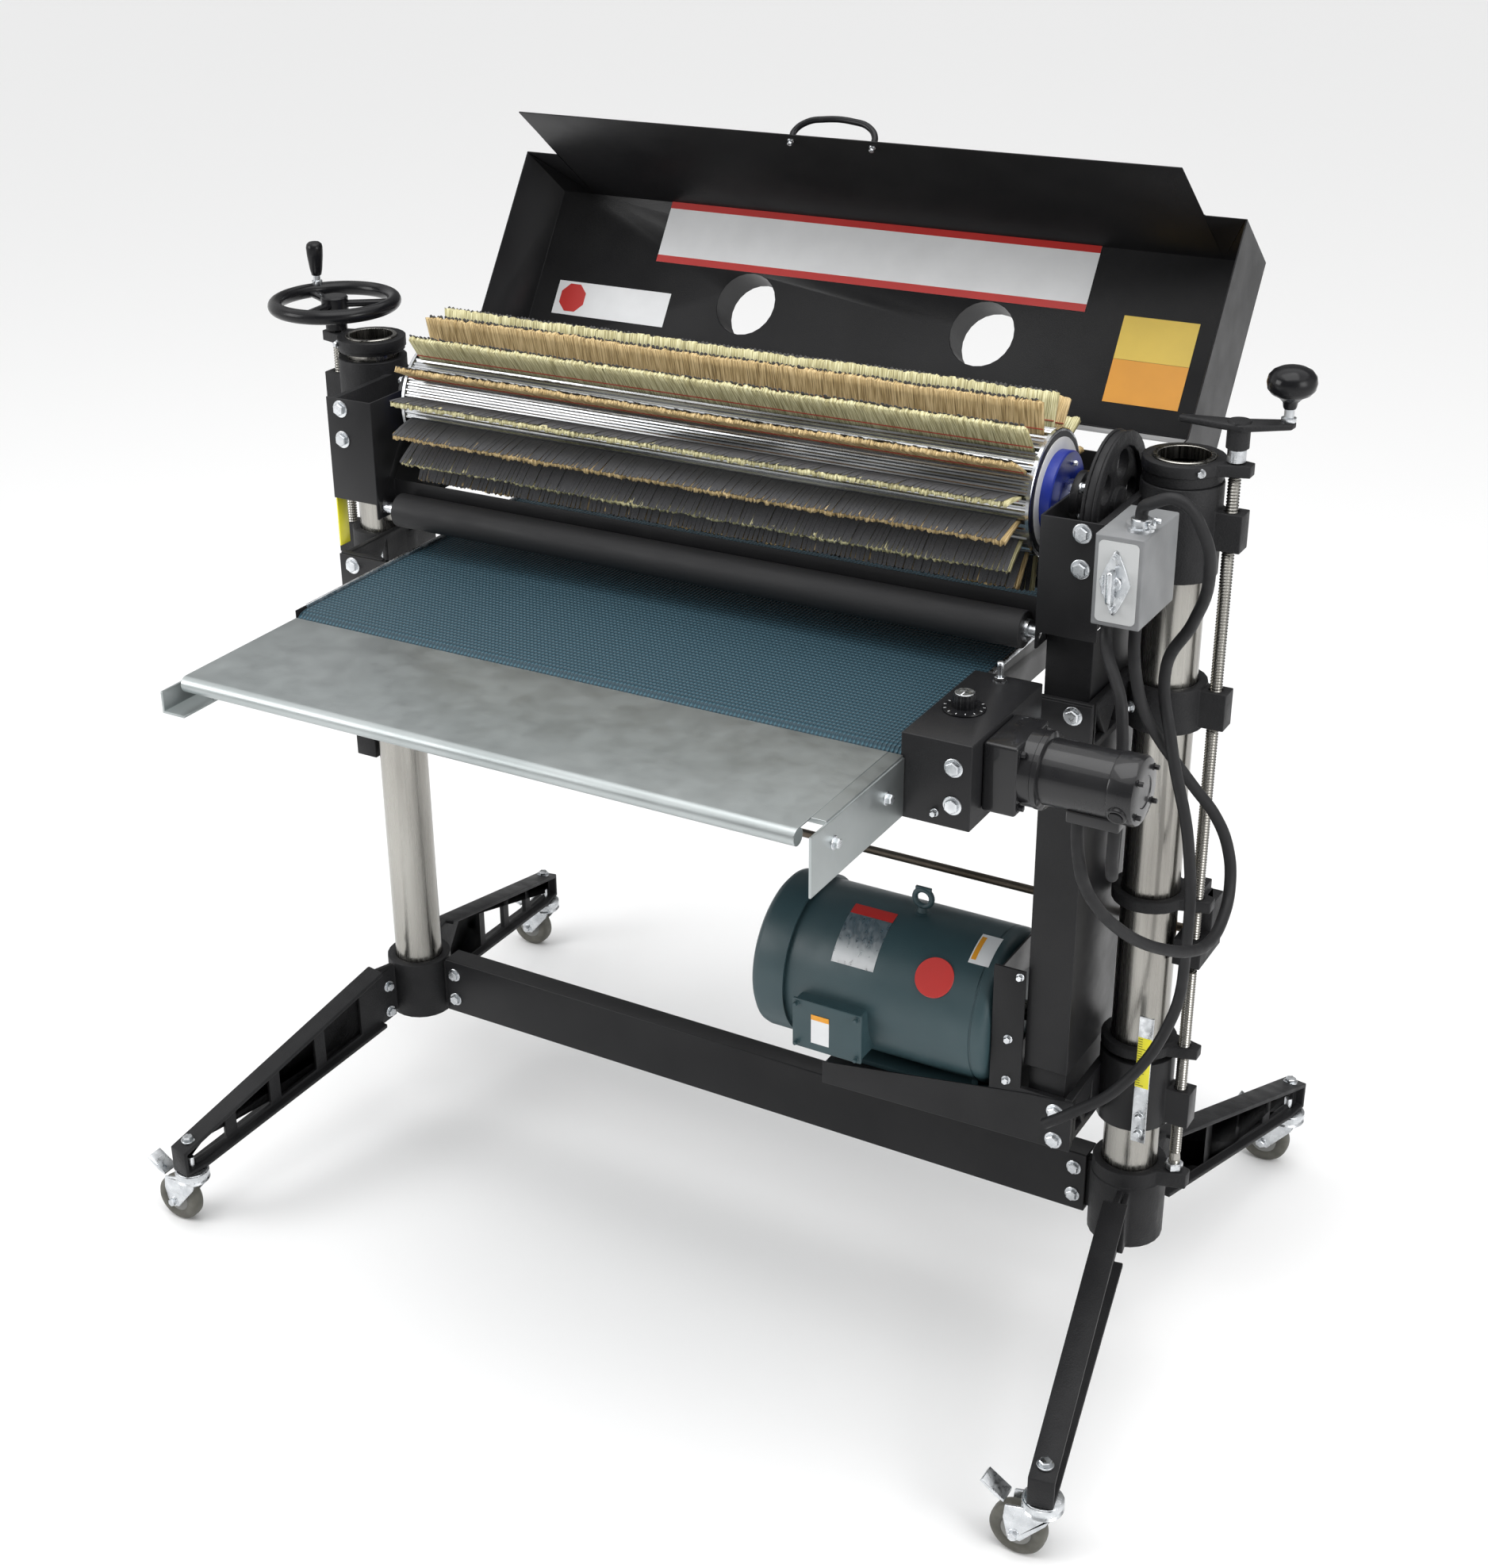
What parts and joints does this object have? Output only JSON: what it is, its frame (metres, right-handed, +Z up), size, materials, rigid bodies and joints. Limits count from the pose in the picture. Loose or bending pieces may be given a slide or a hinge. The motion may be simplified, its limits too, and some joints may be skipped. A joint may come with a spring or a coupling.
{
  "type": "drum sander",
  "caption": "Brush-type drum sander: black twin-column frame on casters, brush drum with open hood, powered conveyor table, side motor and lift screws.",
  "frame": {"origin": "on the floor, under the middle of the machine's bounding box", "axes": "+X to the machine's right seen from the infeed side, +Y to the rear (outfeed side), +Z up"},
  "size_m": [1.5528, 1.1954, 1.6236],
  "materials": {
    "ground_steel": "satin",
    "casting": "painted, slightly rough",
    "powder_coat": "satin powder coat",
    "polished_drum": "polished",
    "zinc_plate": "zinc plated",
    "caster_tyre": "matt",
    "conveyor_rubber": "diamond textured",
    "black_rubber": "matt",
    "motor_enamel": "gloss enamel",
    "switch_plastic": "smooth",
    "black_plastic": "gloss"
  },
  "bodies": {
    "frame": {"column_left": "ground_steel", "column_right": "ground_steel", "base_hub_left": "casting", "base_hub_right": "casting", "base_beam": "powder_coat", "leg_front_left": "casting", "leg_front_right": "casting", "leg_rear_left": "casting", "leg_rear_right": "casting", "head_sleeve_left": "casting", "head_sleeve_right": "casting", "drum_chassis": "powder_coat", "top_collar_left": "casting", "top_collar_right": "casting", "gear_bracket_left": "casting", "gear_bracket_right": "casting", "belt_guard": "powder_coat", "speed_collar": "casting", "switch_box": "switch_plastic", "cord_motor": "black_rubber", "cord_loop": "black_rubber"},
    "table": {"table_sleeve_left": "casting", "table_sleeve_right": "casting", "table_bed": "powder_coat", "conveyor_belt": "conveyor_rubber", "infeed_table": "zinc_plate", "control_box": "powder_coat", "gearmotor": "black_plastic", "cord_feed": "black_rubber"},
    "drum": {"brush_drum": "polished_drum", "drum_pulley": "casting"},
    "motor_unit": {"motor": "motor_enamel", "motor_bracket": "powder_coat", "drive_belt": "black_rubber"},
    "motor_pulley": {"motor_pulley": "casting"},
    "front_roller": {"front_pressure_roller": "black_rubber"},
    "rear_roller": {"rear_pressure_roller": "black_rubber"},
    "hood": {"hood": "powder_coat", "hood_handle": "black_plastic"},
    "handwheel": {"handwheel_screw_left": "black_plastic"},
    "crank": {"crank_screw_right": "black_plastic"},
    "cross_shaft": {"cross_shaft": "ground_steel"},
    "drive_roller": {"drive_roller": "zinc_plate"},
    "idler_roller": {"idler_roller": "zinc_plate"},
    "speed_knob": {"speed_knob": "black_plastic"},
    "toggle": {"toggle_switch": "black_rubber"},
    "switch_handle": {"switch_handle": "zinc_plate"},
    "speed_screw": {"speed_screw": "ground_steel"},
    "caster_front_left": {"caster_fork_front_left": "zinc_plate"},
    "wheel_front_left": {"caster_wheel_front_left": "caster_tyre"},
    "pedal_front_left": {"caster_pedal_front_left": "zinc_plate"},
    "caster_front_right": {"caster_fork_front_right": "zinc_plate"},
    "wheel_front_right": {"caster_wheel_front_right": "caster_tyre"},
    "pedal_front_right": {"caster_pedal_front_right": "zinc_plate"},
    "caster_rear_left": {"caster_fork_rear_left": "zinc_plate"},
    "wheel_rear_left": {"caster_wheel_rear_left": "caster_tyre"},
    "pedal_rear_left": {"caster_pedal_rear_left": "zinc_plate"},
    "caster_rear_right": {"caster_fork_rear_right": "zinc_plate"},
    "wheel_rear_right": {"caster_wheel_rear_right": "caster_tyre"},
    "pedal_rear_right": {"caster_pedal_rear_right": "zinc_plate"}
  },
  "joints": [
    {"name": "table_lift", "type": "slide", "parent": "frame", "child": "table", "axis": [0, 0, 1], "range_m": [-0.08, 0.025], "deforming": ["cord_feed", "cord_loop"]},
    {"name": "crank_turn", "type": "hinge", "parent": "frame", "child": "crank", "pos_m": [0.697, 0.08, 1.35], "axis": [0, 0, 1], "range_deg": [-12500, 4000]},
    {"name": "handwheel_turn", "type": "hinge", "parent": "frame", "child": "handwheel", "pos_m": [-0.673, 0.08, 1.35], "axis": [0, 0, 1], "range_deg": [-12500, 4000]},
    {"name": "cross_shaft_turn", "type": "hinge", "parent": "frame", "child": "cross_shaft", "pos_m": [0.012, 0.128, 0.637], "axis": [1, 0, 0], "range_deg": [-12500, 4000]},
    {"name": "drum_spin", "type": "hinge", "parent": "frame", "child": "drum", "pos_m": [0.012, 0.035, 1.252], "axis": [1, 0, 0], "continuous": true},
    {"name": "motor_pulley_spin", "type": "hinge", "parent": "motor_unit", "child": "motor_pulley", "pos_m": [0.564, 0.04, 0.5], "axis": [1, 0, 0], "continuous": true},
    {"name": "motor_slide", "type": "slide", "parent": "frame", "child": "motor_unit", "axis": [0, 0, 1], "range_m": [-0.03, 0.004], "deforming": ["drive_belt", "cord_motor"]},
    {"name": "speed_screw_turn", "type": "hinge", "parent": "frame", "child": "speed_screw", "pos_m": [0.697, 0.08, 0.4], "axis": [0, 0, 1], "range_deg": [-4800, 650]},
    {"name": "front_roller_spin", "type": "hinge", "parent": "frame", "child": "front_roller", "pos_m": [0.012, -0.065, 1.108], "axis": [1, 0, 0], "continuous": true},
    {"name": "rear_roller_spin", "type": "hinge", "parent": "frame", "child": "rear_roller", "pos_m": [0.012, 0.135, 1.108], "axis": [1, 0, 0], "continuous": true},
    {"name": "hood_pivot", "type": "hinge", "parent": "frame", "child": "hood", "pos_m": [0.012, 0.227, 1.255], "axis": [1, 0, 0], "range_deg": [0, 120]},
    {"name": "drive_roller_spin", "type": "hinge", "parent": "table", "child": "drive_roller", "pos_m": [0.012, -0.32, 1.025], "axis": [1, 0, 0], "continuous": true},
    {"name": "idler_roller_spin", "type": "hinge", "parent": "table", "child": "idler_roller", "pos_m": [0.012, 0.39, 1.025], "axis": [1, 0, 0], "continuous": true},
    {"name": "speed_knob_turn", "type": "hinge", "parent": "table", "child": "speed_knob", "pos_m": [0.503, -0.254, 1.088], "axis": [0, 0, 1], "range_deg": [-150, 150]},
    {"name": "toggle_flip", "type": "hinge", "parent": "table", "child": "toggle", "pos_m": [0.507, -0.16, 1.08], "axis": [1, 0, 0], "range_deg": [0, 20]},
    {"name": "switch_handle_turn", "type": "hinge", "parent": "frame", "child": "switch_handle", "pos_m": [0.634, -0.14, 1.218], "axis": [0, 1, 0], "range_deg": [0, 90]},
    {"name": "swivel_front_left", "type": "hinge", "parent": "frame", "child": "caster_front_left", "pos_m": [-0.69582, -0.4124, 0.095], "axis": [0, 0, 1], "continuous": true},
    {"name": "wheel_spin_front_left", "type": "hinge", "parent": "caster_front_left", "child": "wheel_front_left", "pos_m": [-0.72582, -0.4124, 0.038], "axis": [0, 1, 0], "continuous": true},
    {"name": "pedal_tilt_front_left", "type": "hinge", "parent": "caster_front_left", "child": "pedal_front_left", "pos_m": [-0.74582, -0.4124, 0.081], "axis": [0, 1, 0], "range_deg": [0, 12]},
    {"name": "swivel_front_right", "type": "hinge", "parent": "frame", "child": "caster_front_right", "pos_m": [0.71982, -0.4124, 0.095], "axis": [0, 0, 1], "continuous": true},
    {"name": "wheel_spin_front_right", "type": "hinge", "parent": "caster_front_right", "child": "wheel_front_right", "pos_m": [0.68982, -0.4124, 0.038], "axis": [0, 1, 0], "continuous": true},
    {"name": "pedal_tilt_front_right", "type": "hinge", "parent": "caster_front_right", "child": "pedal_front_right", "pos_m": [0.66982, -0.4124, 0.081], "axis": [0, 1, 0], "range_deg": [0, 12]},
    {"name": "swivel_rear_left", "type": "hinge", "parent": "frame", "child": "caster_rear_left", "pos_m": [-0.69582, 0.5724, 0.095], "axis": [0, 0, 1], "continuous": true},
    {"name": "wheel_spin_rear_left", "type": "hinge", "parent": "caster_rear_left", "child": "wheel_rear_left", "pos_m": [-0.72582, 0.5724, 0.038], "axis": [0, 1, 0], "continuous": true},
    {"name": "pedal_tilt_rear_left", "type": "hinge", "parent": "caster_rear_left", "child": "pedal_rear_left", "pos_m": [-0.74582, 0.5724, 0.081], "axis": [0, 1, 0], "range_deg": [0, 12]},
    {"name": "swivel_rear_right", "type": "hinge", "parent": "frame", "child": "caster_rear_right", "pos_m": [0.71982, 0.5724, 0.095], "axis": [0, 0, 1], "continuous": true},
    {"name": "wheel_spin_rear_right", "type": "hinge", "parent": "caster_rear_right", "child": "wheel_rear_right", "pos_m": [0.68982, 0.5724, 0.038], "axis": [0, 1, 0], "continuous": true},
    {"name": "pedal_tilt_rear_right", "type": "hinge", "parent": "caster_rear_right", "child": "pedal_rear_right", "pos_m": [0.66982, 0.5724, 0.081], "axis": [0, 1, 0], "range_deg": [0, 12]}
  ],
  "couplings": [
    {"joint": "crank_turn", "follows": "table_lift", "rad_per_m": 2721},
    {"joint": "handwheel_turn", "follows": "table_lift", "rad_per_m": 2721},
    {"joint": "cross_shaft_turn", "follows": "table_lift", "rad_per_m": 2721},
    {"joint": "motor_pulley_spin", "follows": "drum_spin", "ratio": 2.8125},
    {"joint": "speed_screw_turn", "follows": "motor_slide", "rad_per_m": 2721},
    {"joint": "idler_roller_spin", "follows": "drive_roller_spin", "ratio": 1}
  ]
}
